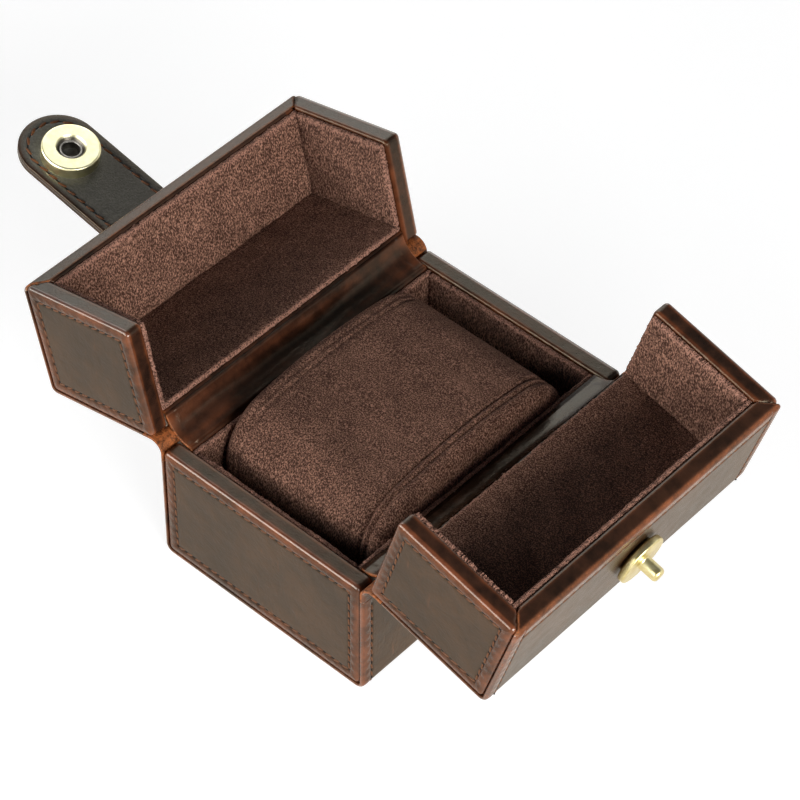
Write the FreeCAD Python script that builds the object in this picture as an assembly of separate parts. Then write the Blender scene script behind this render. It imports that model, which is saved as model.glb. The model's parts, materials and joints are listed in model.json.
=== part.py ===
"""A watch storage case: a leather covered tray with a lift-out pillow and two lids that open like wings.

Frame: the origin is the middle of the tray's underside, +X points to the lid with the stud,
+Y runs along the case and +Z is up. Sizes are millimetres. Both lids and the strap are drawn
shut and then swung open about their leather bends, so the stored pose is the open one.
"""
import FreeCAD
import Part
import math
import os

Vector = FreeCAD.Vector

# Case
case_length = 112.0
case_width = 78.0
tray_height = 43.0
lid_height = 43.8
lid_gap = 2.2
meeting_gap = 0.8
left_open = 103.0
right_open = 105.5

# Sheets and boards
leather = 1.3
end_board = 3.4
side_board = 4.4
floor_board = 3.0
lining = 1.8
floor_lining = 1.5
turn_in = 9.0

# Fits and roundings
fit = 0.2
overcut = 1.0
tray_corner = 3.0
lid_corner = 2.4
edge_round = 1.2
back_round = 1.0
corner_extra = 0.4
lining_round = 0.7
lining_drop = 0.8

# Leather hinges
hinge_out = 0.6
hinge_bend = 4.2
hinge_lap = 1.0
strip = 1.0
strip_turn = 12.0
strip_flat = 1.4

# Strap
strap_width = 25.5
strap_leather = 1.4
strap_rest = 66.0
strap_shut = 12.6
strap_axis = 16.0
strap_bend = 6.0
strap_start = 1.5
strap_tip = 17.0
strap_edge = 0.5
strap_corner = 1.6

# Magnetic snap
snap_reach = 20.5
snap_radius = 9.0
cup_height = 4.0
cup_wall = 0.7
cup_mouth = 4.7
cup_hole = 3.5
cup_plate = 1.2
eyelet_bore = 2.8
eyelet_wall = 0.45
plate_radius = 7.0
plate = 0.6
stud_lift = 1.6
stud_disc = 2.0
stud_round = 0.5
stud_post = 2.1
stud_length = 5.6
stud_tip = 1.3
stud_shank = 1.9

# Pillow
pillow_height = 46.5
pillow_gap = 0.5
pillow_room = 6.2
pillow_bow = 90.0
pillow_shoulder = 15.0
pillow_foot = 5.0
pillow_draw = 0.9
pillow_cloth = 1.2
seam_inset = 4.5
seam_width = 2.0
seam_depth = 0.8
cap_round = 4.0

# Worked out from the sizes above
half_length = case_length / 2
half_width = case_width / 2
end_rim = leather + end_board + leather
side_rim = leather + side_board + strip
panel_corner = edge_round + corner_extra
inside = half_length - end_rim
lid_width = half_width - meeting_gap / 2
rim_start = tray_height + lid_gap
hinge_height = tray_height + lid_gap / 2
hinge_at = half_width + hinge_out
lid_top = rim_start + lid_height
floor_top = leather + floor_board
seat_top = floor_top + floor_lining
full_length = Vector(0, case_length, 0)
inner_length = Vector(0, 2 * inside, 0)
origin = Vector(0, 0, 0)
tolerance = 1e-5


# Outlines and solids

def rounded_corner(before, here, after, radius):
    """Start, middle and end of the arc that rounds one corner of an outline."""
    back = (before - here).normalize()
    ahead = (after - here).normalize()
    half = back.getAngle(ahead) / 2
    reach = radius / math.tan(half)
    middle = here + (back + ahead).normalize() * (radius / math.sin(half) - radius)
    return here + back * reach, middle, here + ahead * reach


def outline(spots, radii):
    """A closed face through points in one plane, each corner rounded by its own radius."""
    edges = []
    ends = []
    for i, (here, radius) in enumerate(zip(spots, radii)):
        start = end = here
        if radius > 0:
            start, middle, end = rounded_corner(spots[i - 1], here, spots[(i + 1) % len(spots)], radius)
            edges.append(Part.Arc(start, middle, end).toShape())
        ends.append((start, end))
    for i, (start, end) in enumerate(ends):
        following = ends[(i + 1) % len(ends)][0]
        if end.distanceToPoint(following) > tolerance:
            edges.append(Part.LineSegment(end, following).toShape())
    return Part.Face(Part.Wire(Part.__sortEdges__(edges)))


def prism(points, place, along):
    """A solid from (a, b, radius) points, put into space by place and pushed along a vector."""
    spots = [place(a, b) for a, b, radius in points]
    return outline(spots, [radius for a, b, radius in points]).extrude(along)


def rectangle(a0, a1, b0, b1, radii=(0, 0, 0, 0)):
    """Four (a, b, radius) corners, anticlockwise from the lowest."""
    return list(zip((a0, a1, a1, a0), (b0, b0, b1, b1), radii))


def across_case(y):
    """Puts (x, z) on the plane across the case at y."""
    return lambda x, z: Vector(x, y, z)


def across_lid(y):
    """Puts (distance from the hinged wall's face, height over the rim) of the shut left lid at y."""
    return lambda u, v: Vector(u - half_width, y, rim_start + v)


def box(x0, x1, y0, y1, z0, z1):
    """A plain block between two corners."""
    return Part.makeBox(x1 - x0, y1 - y0, z1 - z0, Vector(x0, y0, z0))


def lid_box(u0, u1, y0, y1, v0, v1):
    """A plain block in the shut left lid."""
    return box(u0 - half_width, u1 - half_width, y0, y1, rim_start + v0, rim_start + v1)


def spun(points, centre):
    """A solid of revolution about the vertical through a point, from (radius, height, rounding)."""
    spots = [centre + Vector(r, 0, h) for r, h, rounding in points]
    profile = outline(spots, [rounding for r, h, rounding in points])
    return profile.revolve(centre, Vector(0, 0, 1), 360)


def edges_where(shape, test):
    """The edges whose ends and middle all pass a test."""
    found = []
    for edge in shape.Edges:
        middle = edge.valueAt((edge.FirstParameter + edge.LastParameter) / 2)
        if all(test(p) for p in [middle] + [v.Point for v in edge.Vertexes]):
            found.append(edge)
    return found


def same(a, b):
    """Whether two coordinates agree."""
    return abs(a - b) < tolerance


def rear(shape):
    """The same piece at the far end of the case."""
    return shape.mirror(origin, Vector(0, 1, 0))


def opposite(shape):
    """The same piece on the other side of the case."""
    return shape.mirror(origin, Vector(1, 0, 0))


def moved(shape, offset):
    """A copy of a shape, moved by a vector."""
    copy = shape.copy()
    copy.translate(offset)
    return copy


# End panels

def wrapped_panel(place_at, a0, a1, b0, b1, radii):
    """The leather and the board of an end panel whose face lies at the near end of the case.

    The leather covers the face, goes round all four edges and is turned in on the back, where
    its margins leave a window that the lining closes.
    """
    face = -half_length
    back = face + end_rim
    block = prism(rectangle(a0, a1, b0, b1, radii), place_at(face), Vector(0, end_rim, 0))
    block = block.makeFillet(edge_round, edges_where(block, lambda p: same(p.y, face)))
    block = block.makeFillet(back_round, edges_where(block, lambda p: same(p.y, back)))
    board_radii = [max(radius - leather, 0) for radius in radii]
    board_size = rectangle(a0 + leather, a1 - leather, b0 + leather, b1 - leather, board_radii)
    board = prism(board_size, place_at(face + leather), Vector(0, end_board, 0))
    window_size = rectangle(a0 + turn_in, a1 - turn_in, b0 + turn_in, b1 - turn_in)
    window = prism(window_size, place_at(back - leather), Vector(0, leather + overcut, 0))
    return block.cut(board).cut(window), board


# Tray

def tray_pieces():
    """Leather, boards and linings of the tray."""
    made = {}
    left_top = hinge_height - bend_reach(left_open) - hinge_lap
    right_top = hinge_height - bend_reach(right_open) - hinge_lap
    inner_corner = tray_corner - leather
    inner_width = half_width - leather
    sheet = [
        (-half_width, left_top, 0), (-half_width, 0, tray_corner),
        (half_width, 0, tray_corner), (half_width, right_top, 0),
        (inner_width, right_top, 0), (inner_width, leather, inner_corner),
        (-inner_width, leather, inner_corner), (-inner_width, left_top, 0),
    ]
    made["tray_wrap"] = prism(sheet, across_case(-half_length), full_length)

    reach = inner_width - fit
    low_corner = inner_corner + fit
    foot_corner = max(low_corner, panel_corner)
    radii = (foot_corner, foot_corner, panel_corner, panel_corner)
    cover, board = wrapped_panel(across_case, -reach, reach, leather + fit, tray_height, radii)
    made["tray_front_cover"] = cover
    made["tray_front_board"] = board
    made["tray_rear_cover"] = rear(cover)
    made["tray_rear_board"] = rear(board)

    floor = rectangle(-inner_width, inner_width, leather, floor_top, (low_corner, low_corner, 0, 0))
    made["tray_floor_board"] = prism(floor, across_case(-inside), inner_length)
    wall = box(-inner_width, side_board - inner_width, -inside, inside, floor_top, tray_height - strip)
    made["tray_left_board"] = wall
    made["tray_right_board"] = opposite(wall)

    lip = tray_height - lining_drop
    outer = half_width - side_rim
    inner = outer - lining
    made["tray_floor_lining"] = box(-outer, outer, -inside, inside, floor_top, seat_top)
    side = box(-outer, -inner, -inside, inside, seat_top, lip)
    side_lip = edges_where(side, lambda p: same(p.z, lip) and same(p.x, -inner))
    made["tray_left_lining"] = side.makeFillet(lining_round, side_lip)
    made["tray_right_lining"] = opposite(made["tray_left_lining"])
    end_face = lining - inside
    end = box(-inner, inner, -inside, end_face, seat_top, lip)
    end_lip = edges_where(end, lambda p: same(p.z, lip) and same(p.y, end_face))
    made["tray_front_lining"] = end.makeFillet(lining_round, end_lip)
    made["tray_rear_lining"] = rear(made["tray_front_lining"])
    return made


# Leather hinges

def bend_reach(angle):
    """How far from the hinge line the bent outer leather meets the flat walls."""
    return (hinge_bend - hinge_out) / math.tan(math.radians(180 - angle) / 2)


def left_hinge(angle):
    """The bent outer leather and the hollow inner strip of a left hinge, open at an angle."""
    turn = math.radians(angle)
    inward = Vector(1, 0, 0)
    down = Vector(0, 0, -1)
    lid_inward = Vector(math.cos(turn), 0, math.sin(turn))
    lid_up = Vector(-math.sin(turn), 0, math.cos(turn))
    outward = (down + lid_up).normalize()
    line = Vector(-hinge_at, 0, hinge_height)

    reach = bend_reach(angle) + hinge_lap
    fold = math.radians(180 - angle) / 2
    tray_end = line + inward * hinge_out + down * reach
    lid_end = line + lid_inward * hinge_out + lid_up * reach
    crease = line - outward * (hinge_out / math.sin(fold))
    inner_crease = crease - outward * (leather / math.sin(fold))
    sheet = [
        tray_end, crease, lid_end,
        lid_end + lid_inward * leather, inner_crease, tray_end + inward * leather,
    ]
    bend = outline(sheet, (0, hinge_bend, 0, 0, hinge_bend + leather, 0))
    bend = moved(bend.extrude(full_length), Vector(0, -half_length, 0))

    valley = turn / 2
    apex = line + outward * (lid_gap / 2 / math.sin(valley))
    deep_apex = apex + outward * (strip / math.sin(valley))
    edge_at = hinge_out + side_rim + lid_gap / 2 / math.tan(valley)
    hollow = (edge_at - strip_flat) * math.tan(valley)
    rims = []
    for along, into in ((inward, down), (lid_inward, lid_up)):
        edge = apex + along * edge_at
        back = edge - along * strip
        rims.append((edge + into * strip_turn, edge, back + into * strip, back + into * strip_turn))
    tray, lid = rims
    band = [tray[0], tray[1], apex, lid[1], lid[0], lid[3], lid[2], deep_apex, tray[2], tray[3]]
    radii = (0, edge_round, hollow, edge_round, 0, 0, 0, hollow + strip, 0, 0)
    end = inside - fit
    inner = moved(outline(band, radii).extrude(Vector(0, 2 * end, 0)), Vector(0, -end, 0))
    return {"hinge_leather": bend, "hinge_strip": inner}


# Lids

def lid_pieces(angle):
    """Leather, boards and linings of a left lid for an opening angle, drawn shut."""
    made = {}
    made["lid_cover"] = lid_leather(angle)
    high = lid_height - leather - fit
    top_corner = max(lid_corner - leather + fit, panel_corner)
    radii = (panel_corner, panel_corner, panel_corner, top_corner)
    cover, board = wrapped_panel(across_lid, leather + fit, lid_width, 0, high, radii)
    made["lid_front_cover"] = cover.cut(corner_notch())
    made["lid_rear_cover"] = rear(made["lid_front_cover"])
    made["lid_front_board"] = board
    made["lid_rear_board"] = rear(board)

    board_top = lid_height - leather
    board_foot = board_top - end_board
    top_radii = (0, 0, 0, lid_corner - leather + fit)
    top_size = rectangle(leather, lid_width - leather, board_foot, board_top, top_radii)
    made["lid_top_board"] = prism(top_size, across_lid(-inside), inner_length)
    made["lid_side_board"] = lid_box(leather, leather + side_board, -inside, inside, strip, board_foot)

    wall = side_rim + lining
    under = lid_height - end_rim
    ceiling = under - lining
    lip = lid_width - lining_drop
    lip_x = lip - half_width
    drop_z = rim_start + lining_drop
    side = lid_box(side_rim, wall, -inside, inside, lining_drop, under)
    side_lip = edges_where(side, lambda p: same(p.z, drop_z) and same(p.x, wall - half_width))
    made["lid_side_lining"] = side.makeFillet(lining_round, side_lip)
    top = lid_box(wall, lip, -inside, inside, ceiling, under)
    top_lip = edges_where(top, lambda p: same(p.x, lip_x) and same(p.z, rim_start + ceiling))
    made["lid_top_lining"] = top.makeFillet(lining_round, top_lip)
    end_face = lining - inside
    end = lid_box(wall, lip, -inside, end_face, lining_drop, ceiling)
    end_lip = edges_where(end, lambda p: same(p.y, end_face) and (same(p.x, lip_x) or same(p.z, drop_z)))
    made["lid_front_lining"] = end.makeFillet(lining_round, end_lip)
    made["lid_rear_lining"] = rear(made["lid_front_lining"])
    return made


def lid_leather(angle):
    """The sheet over a lid's side and top, turned over the free rim, with mitred corners there."""
    start = bend_reach(angle) + hinge_lap - lid_gap / 2
    under = lid_height - end_rim
    face = lid_width - leather
    skin = lid_height - leather
    sheet = [
        (0, start, 0), (leather, start, 0), (leather, skin, lid_corner - leather),
        (face, skin, 0), (face, under + leather, 0), (lid_width - turn_in, under + leather, 0),
        (lid_width - turn_in, under, 0), (lid_width, under, edge_round),
        (lid_width, lid_height, edge_round), (0, lid_height, lid_corner),
    ]
    cover = prism(sheet, across_lid(-half_length), full_length)
    near_end = -half_length - overcut
    below_mitre = [
        (near_end, skin, 0), (leather - half_length, skin, 0),
        (overcut - inside, under - overcut, 0), (near_end, under - overcut, 0),
    ]
    mitre = prism(below_mitre, on_rim(face), Vector(leather + overcut, 0, 0))
    margin = lid_box(lid_width - turn_in - overcut, face, near_end, fit - inside, under - overcut, skin)
    for tool in (mitre, margin):
        cover = cover.cut(tool).cut(rear(tool))
    return cover


def corner_notch():
    """What the turned rim of a lid's sheet takes out of the end panel's corner, up to the mitre."""
    under = lid_height - end_rim
    skin = lid_height - leather
    above_mitre = [
        (leather - half_length - fit, skin, 0), (overcut - inside, skin, 0),
        (overcut - inside, under - overcut - fit, 0),
    ]
    return prism(above_mitre, on_rim(lid_width - leather - fit), Vector(leather + fit + overcut, 0, 0))


def on_rim(u):
    """Puts (y, height over the rim) on the plane along the shut left lid at u from its hinged wall."""
    return lambda y, v: Vector(u - half_width, y, rim_start + v)


# Strap and snap

def strap_pieces():
    """The strap's sewn root and bend, which stay with the lid, and its free end with the socket.

    The strap is two layers of leather, drawn flat on the shut left lid. Its free end is then
    turned up about the middle of the bend.
    """
    pivot = Vector(strap_axis - half_width, 0, lid_top + strap_leather)
    straight = strap_bend * math.tan(math.radians(strap_rest) / 2)
    lean = math.radians(strap_shut)
    reach = lid_width + meeting_gap + snap_reach - strap_axis
    snap_at = (reach - (strap_leather + cup_height / 2) * math.sin(lean)) / math.cos(lean)
    side = strap_width / 2
    layer = Vector(0, 0, strap_leather)
    root_radii = (strap_corner, 0, 0, strap_corner)
    root = rectangle(strap_start - half_width, pivot.x - straight, -side, side, root_radii)
    lower = prism(root, flat_at(lid_top), layer)
    fixed = {"strap_root": Part.makeCompound([lower, moved(lower, layer)])}
    fixed["strap_bend"] = bent_strap(pivot, straight)

    cut_end = pivot.x + straight
    tip = pivot.x + snap_at + strap_tip
    tongue = rectangle(cut_end, tip, -side, side, (0, side, side, 0))
    inner = prism(tongue, flat_at(lid_top), layer)
    inner = inner.makeFillet(strap_edge, free_edges(inner, lid_top, cut_end))
    outer = prism(tongue, flat_at(lid_top + strap_leather), layer)
    outer = outer.makeFillet(strap_edge, free_edges(outer, lid_top + 2 * strap_leather, cut_end))

    seat = Vector(pivot.x + snap_at, 0, lid_top)
    hole = Part.makeCylinder(eyelet_bore + eyelet_wall + fit, strap_leather, seat)
    pocket = Part.makeCylinder(plate_radius + fit, plate + fit, seat + layer)
    free = socket_pieces(seat)
    free["strap_inner_leather"] = inner.cut(hole)
    free["strap_outer_leather"] = outer.cut(pocket)
    for shape in free.values():
        shape.rotate(pivot, Vector(0, -1, 0), strap_rest)
    return {**fixed, **free}


def flat_at(z):
    """Puts (x, y) on the level plane at z."""
    return lambda x, y: Vector(x, y, z)


def free_edges(layer, level, cut_end):
    """The edges of a strap layer at one level, without its cut end."""
    level_edges = edges_where(layer, lambda p: same(p.z, level))
    cut = edges_where(layer, lambda p: same(p.x, cut_end))
    return [edge for edge in level_edges if not any(edge.isSame(other) for other in cut)]


def bent_strap(pivot, straight):
    """Both layers of the strap where it bends up off the lid."""
    turn = math.radians(strap_rest)
    along = Vector(math.cos(turn), 0, math.sin(turn))
    normal = Vector(-math.sin(turn), 0, math.cos(turn))
    inward = (along - Vector(1, 0, 0)).normalize() * (strap_leather / math.cos(turn / 2))
    start = pivot - Vector(straight, 0, 0)
    end = pivot + along * straight
    layers = []
    for low, high in ((-1, 0), (0, 1)):
        spots = []
        for level in (low, high):
            lift = strap_leather * level
            spots.append([start + Vector(0, 0, lift), pivot + inward * level, end + normal * lift])
        radii = (0, strap_bend - strap_leather * low, 0, 0, strap_bend - strap_leather * high, 0)
        band = outline(spots[0] + spots[1][::-1], radii)
        layers.append(moved(band.extrude(Vector(0, strap_width, 0)), Vector(0, -strap_width / 2, 0)))
    return Part.makeCompound(layers)


def socket_pieces(seat):
    """Cup, ring magnet, eyelet and rivet plate of the snap's socket, hanging from the flat strap."""
    face = -cup_height
    shelf = face + cup_plate
    inner_wall = cup_hole + cup_wall
    outer_wall = snap_radius - cup_wall
    cup = [
        (outer_wall, 0, 0), (snap_radius, 0, 0), (snap_radius, face, cup_wall), (cup_mouth, face, 0),
        (cup_hole, shelf, 0), (cup_hole, 0, 0), (inner_wall, 0, 0), (inner_wall, shelf + cup_wall, 0),
        (cup_mouth + cup_wall, face + cup_wall, 0), (outer_wall, face + cup_wall, 0),
    ]
    roof = face + cup_wall + fit
    magnet = [
        (inner_wall + fit, 0, 0), (outer_wall - fit, 0, 0), (outer_wall - fit, roof, 0),
        (cup_mouth + cup_wall + fit, roof, 0), (inner_wall + fit, shelf + cup_wall + fit, 0),
    ]
    tube = eyelet_bore + eyelet_wall
    flange = cup_hole - fit / 2
    eyelet = [
        (eyelet_bore, strap_leather, 0), (eyelet_bore, shelf, eyelet_wall / 2), (flange, shelf, 0),
        (flange, shelf + eyelet_wall, 0), (tube, shelf + eyelet_wall, 0), (tube, strap_leather, 0),
    ]
    washer = rectangle(eyelet_bore, plate_radius, strap_leather, strap_leather + plate)
    profiles = {"snap_cup": cup, "snap_magnet": magnet, "snap_eyelet": eyelet, "snap_cup_plate": washer}
    return {name: spun(profile, seat) for name, profile in profiles.items()}


def add_stud(lid):
    """Puts the snap's stud and rivet plate on a right lid, drawn shut, and cuts their seats in it."""
    seat = Vector(meeting_gap / 2 + snap_reach, 0, lid_top)
    disc_top = stud_lift + stud_disc
    tip = disc_top + stud_length
    rivet = leather + plate
    stud = [
        (0, -rivet, 0), (stud_shank, -rivet, 0), (stud_shank, 0, 0),
        (plate_radius, 0, 0), (plate_radius, stud_lift, 0),
        (snap_radius, stud_lift, stud_round), (snap_radius, disc_top, stud_round),
        (stud_post, disc_top, 0), (stud_post, tip, stud_tip), (0, tip, 0),
    ]
    washer = rectangle(stud_shank + fit / 2, plate_radius, -rivet, -leather)
    hole = Part.makeCylinder(stud_shank + fit, leather, seat - Vector(0, 0, leather))
    pocket = Part.makeCylinder(plate_radius + fit, plate + fit, seat - Vector(0, 0, rivet + fit))
    lid["lid_cover"] = lid["lid_cover"].cut(hole)
    lid["lid_top_board"] = lid["lid_top_board"].cut(pocket)
    return {"snap_stud": spun(stud, seat), "snap_stud_plate": spun(washer, seat)}


# Pillow

def pillow_outline(x, inset):
    """One closed outline across the pillow at x, drawn in at its sides and top by an inset.

    A bowed top runs into round shoulders, straight ends and a flat foot, all tangent.
    """
    side = inside - lining - pillow_room - inset
    foot = seat_top + fit
    top = foot + pillow_height - inset
    shoulder_y = side - pillow_shoulder
    bow_z = top - pillow_bow
    shoulder_z = bow_z + math.sqrt((pillow_bow - pillow_shoulder) ** 2 - shoulder_y ** 2)
    lean = math.atan2(shoulder_z - bow_z, shoulder_y)
    foot_y = side - pillow_foot
    foot_z = foot + pillow_foot

    def on_arc(y, z, radius, angle, way):
        return Vector(x, way * (y + radius * math.cos(angle)), z + radius * math.sin(angle))

    edges = []
    for way in (1, -1):
        quarter = -math.pi / 2
        ankle = [on_arc(foot_y, foot_z, pillow_foot, angle, way) for angle in (quarter, quarter / 2, 0)]
        bend = [on_arc(shoulder_y, shoulder_z, pillow_shoulder, angle, way) for angle in (0, lean / 2, lean)]
        end = [Part.Arc(*ankle), Part.LineSegment(ankle[2], bend[0]), Part.Arc(*bend)]
        edges.append([curve.toShape() for curve in end])
    bow_end = on_arc(0, bow_z, pillow_bow, lean, 1)
    crown = Part.Arc(bow_end, Vector(x, 0, top), Vector(x, -bow_end.y, bow_end.z)).toShape()
    bottom = Part.LineSegment(Vector(x, -foot_y, foot), Vector(x, foot_y, foot)).toShape()
    return Part.Wire([*edges[0], crown, *edges[1][::-1], bottom])


def pillow_body(stations):
    """A solid lofted through pillow outlines at (x, inset) stations."""
    return Part.makeLoft([pillow_outline(x, inset) for x, inset in stations], True)


def pillow_pieces():
    """Foam, the suede band round it and the two suede end caps, with a channel at each seam."""
    end = half_width - side_rim - lining - pillow_gap
    seam = end - seam_inset
    seam_at = pillow_draw + seam_depth
    half_band = [(0, 0), (seam / 2, pillow_draw / 4), (seam - seam_width, pillow_draw), (seam, seam_at)]
    band = [(-x, inset) for x, inset in half_band[:0:-1]] + half_band
    thick = [(x, inset + pillow_cloth) for x, inset in band]
    thick[0] = (thick[0][0] - overcut, thick[0][1])
    thick[-1] = (thick[-1][0] + overcut, thick[-1][1])
    sole = box(-end, end, -half_length, half_length, 0, seat_top + fit + pillow_cloth)
    made = {"pillow_band": pillow_body(band).cut(pillow_body(thick).cut(sole))}

    start = seam + fit / 2
    bulge = seam + seam_width
    cap = [(start, seam_at), (bulge, pillow_draw), (end, pillow_draw + cap_round)]
    hollow = [(start - overcut, seam_at + pillow_cloth), (end - pillow_cloth, seam_at + pillow_cloth)]
    made["pillow_right_cap"] = pillow_body(cap).cut(pillow_body(hollow).cut(sole))
    made["pillow_left_cap"] = opposite(made["pillow_right_cap"])

    core = seam_at + pillow_cloth + fit
    foam_end = end - pillow_cloth - fit
    foam = pillow_body([(-foam_end, core), (foam_end, core)])
    made["pillow_foam"] = foam.cut(moved(sole, Vector(0, 0, fit)))
    return made


# The whole case

def opened(pieces, side, angle, prefix=""):
    """Pieces of a shut lid, swung open about the hinge line on one side."""
    line = Vector(side * hinge_at, 0, hinge_height)
    swung = {}
    for name, shape in pieces.items():
        copy = shape.copy()
        copy.rotate(line, Vector(0, side, 0), angle)
        swung[prefix + name] = copy
    return swung


def case_pieces():
    """Every piece of the case by its name, in the open pose."""
    left = lid_pieces(left_open)
    right = {name: opposite(shape) for name, shape in lid_pieces(right_open).items()}
    stud = add_stud(right)
    pieces = {**tray_pieces(), **pillow_pieces()}
    pieces.update(opened(left, -1, left_open, "left_"))
    pieces.update(opened(strap_pieces(), -1, left_open))
    pieces.update(opened(right, 1, right_open, "right_"))
    pieces.update(opened(stud, 1, right_open))
    for name, shape in left_hinge(left_open).items():
        pieces["left_" + name] = shape
    for name, shape in left_hinge(right_open).items():
        pieces["right_" + name] = opposite(shape)
    return pieces


os.makedirs("parts", exist_ok=True)
for node, shape in sorted(case_pieces().items()):
    solids = shape.Solids
    whole = solids[0] if len(solids) == 1 else Part.makeCompound(solids)
    whole.exportStep(f"parts/{node}.step")
    print(f"{node:24s} solids {len(solids)}  valid {whole.isValid()}  volume {whole.Volume:10.1f}")
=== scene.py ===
import json
import math

import bmesh
import bpy
import numpy as np
from mathutils import Matrix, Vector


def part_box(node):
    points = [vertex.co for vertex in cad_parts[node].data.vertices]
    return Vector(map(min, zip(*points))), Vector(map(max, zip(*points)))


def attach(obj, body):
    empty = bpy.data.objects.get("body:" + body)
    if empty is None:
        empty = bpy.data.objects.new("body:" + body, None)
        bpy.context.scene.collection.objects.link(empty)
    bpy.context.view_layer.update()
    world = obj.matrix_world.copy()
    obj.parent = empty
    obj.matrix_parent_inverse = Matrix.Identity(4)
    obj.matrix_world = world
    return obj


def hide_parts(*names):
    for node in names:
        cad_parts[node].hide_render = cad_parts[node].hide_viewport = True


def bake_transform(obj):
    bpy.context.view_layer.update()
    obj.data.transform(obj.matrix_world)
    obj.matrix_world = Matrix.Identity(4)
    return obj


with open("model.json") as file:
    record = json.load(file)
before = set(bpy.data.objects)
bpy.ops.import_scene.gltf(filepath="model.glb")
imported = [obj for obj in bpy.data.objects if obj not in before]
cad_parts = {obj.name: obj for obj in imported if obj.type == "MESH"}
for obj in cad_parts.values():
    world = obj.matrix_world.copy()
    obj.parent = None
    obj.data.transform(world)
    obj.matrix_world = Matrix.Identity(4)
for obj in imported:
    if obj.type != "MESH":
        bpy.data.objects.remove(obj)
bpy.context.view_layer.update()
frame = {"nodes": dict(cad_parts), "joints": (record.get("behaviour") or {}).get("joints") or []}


# Boards
# The stiff core of every wall: grey fibre board, cut square and glued between leather and suede.
# The frame's own solids have that shape, so they stay, and only get the board's flecked finish.

class Value:
    """One socket of a finish. Arithmetic on it adds Math nodes, and node() adds any other node."""

    def __init__(self, socket):
        self.socket = socket

    def node(self, kind, settings, sockets, output=0):
        """Adds a node: its settings first, then numbers or links for its sockets. Gives one output."""
        made = self.socket.id_data.nodes.new(kind)
        for setting, choice in settings.items():
            setattr(made, setting, choice)
        fill_sockets(made, sockets)
        return Value(made.outputs[output])

    def maths(self, operation, first, second):
        """One Math node on two values or numbers."""
        return self.node("ShaderNodeMath", {"operation": operation}, {0: first, 1: second})

    def __add__(self, other):
        return self.maths("ADD", self, other)

    __radd__ = __add__

    def __sub__(self, other):
        return self.maths("SUBTRACT", self, other)

    def __rsub__(self, other):
        return self.maths("SUBTRACT", other, self)

    def __mul__(self, other):
        return self.maths("MULTIPLY", self, other)

    __rmul__ = __mul__

    def smooth(self, low, high):
        """0 below low, 1 above high, and an S between."""
        limits = {"Value": self, "From Min": low, "From Max": high}
        return self.node("ShaderNodeMapRange", {"interpolation_type": "SMOOTHSTEP"}, limits)

    def mix(self, first, second):
        """The first colour where this value is 0, the second where it is 1."""
        return self.node("ShaderNodeMix", {"data_type": "RGBA"}, {0: self, 6: first, 7: second}, 2)

    def stretched(self, x, y, z):
        """A place with each axis multiplied, so that a pattern on it is drawn out or squeezed."""
        return self.node("ShaderNodeVectorMath", {"operation": "MULTIPLY"}, {0: self, 1: (x, y, z)})

    def noise(self, size, detail=2.0, roughness=0.5):
        """Cloudy noise on a place, with clouds of about that many millimetres."""
        sockets = {"Vector": self, "Scale": 1.0 / size, "Detail": detail, "Roughness": roughness}
        return self.node("ShaderNodeTexNoise", {}, sockets)

    def mark(self, name):
        """The value that a piece's mesh carries under that name."""
        return self.node("ShaderNodeAttribute", {"attribute_name": name}, {}, "Fac")

    def bump(self):
        """A normal from this height in millimetres."""
        return self.node("ShaderNodeBump", {}, {"Height": self, "Distance": 0.001})


def fill_sockets(node, sockets):
    """Links each value to its socket, and sets each plain number or colour on it."""
    for name, value in sockets.items():
        if isinstance(value, Value):
            node.id_data.links.new(value.socket, node.inputs[name])
        else:
            node.inputs[name].default_value = value


def new_finish(name):
    """A fresh material, its shader, and the place on the object in millimetres."""
    finish = bpy.data.materials.new(name)
    finish.use_nodes = True
    shader = finish.node_tree.nodes["Principled BSDF"]
    object_place = Value(finish.node_tree.nodes.new("ShaderNodeTexCoord").outputs["Object"])
    return finish, shader, object_place.stretched(1000.0, 1000.0, 1000.0)


def colour(red, green, blue):
    """A colour as it looks on a screen, 0 to 255, in the linear numbers that a shader takes."""
    seen = np.array([red, green, blue]) / 255
    linear = np.where(seen <= 0.04045, seen / 12.92, ((seen + 0.055) / 1.055) ** 2.4)
    return (*linear.tolist(), 1.0)


board, shader, place = new_finish("fibre_board")
fleck = place.noise(0.8, 3.0, 0.7)
fill_sockets(shader, {
    "Base Color": fleck.smooth(0.35, 0.7).mix(colour(92, 80, 68), colour(134, 120, 104)),
    "Roughness": 0.9,
    "Normal": (fleck * 0.05).bump(),
})
for name, node in frame["nodes"].items():
    if name.endswith("_board"):
        node.material_slots[0].material = board


# Outer leather of the tray
# One sheet of waxed brown leather that runs down one side, under the floor and up the other side. Its long
# edges are rounded and burnished, and a saddle stitch near each holds it to the end panels.

LEATHER = 1.3
SEAM_INSET = 3.8
SEAM_DEPTH = 0.24
SEAM_WIDTH = 0.36
BAND = 6.0
SHEET_EDGE = 0.95
BACK_EDGE = 0.3
TRAY_CORNER = 3.0

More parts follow.
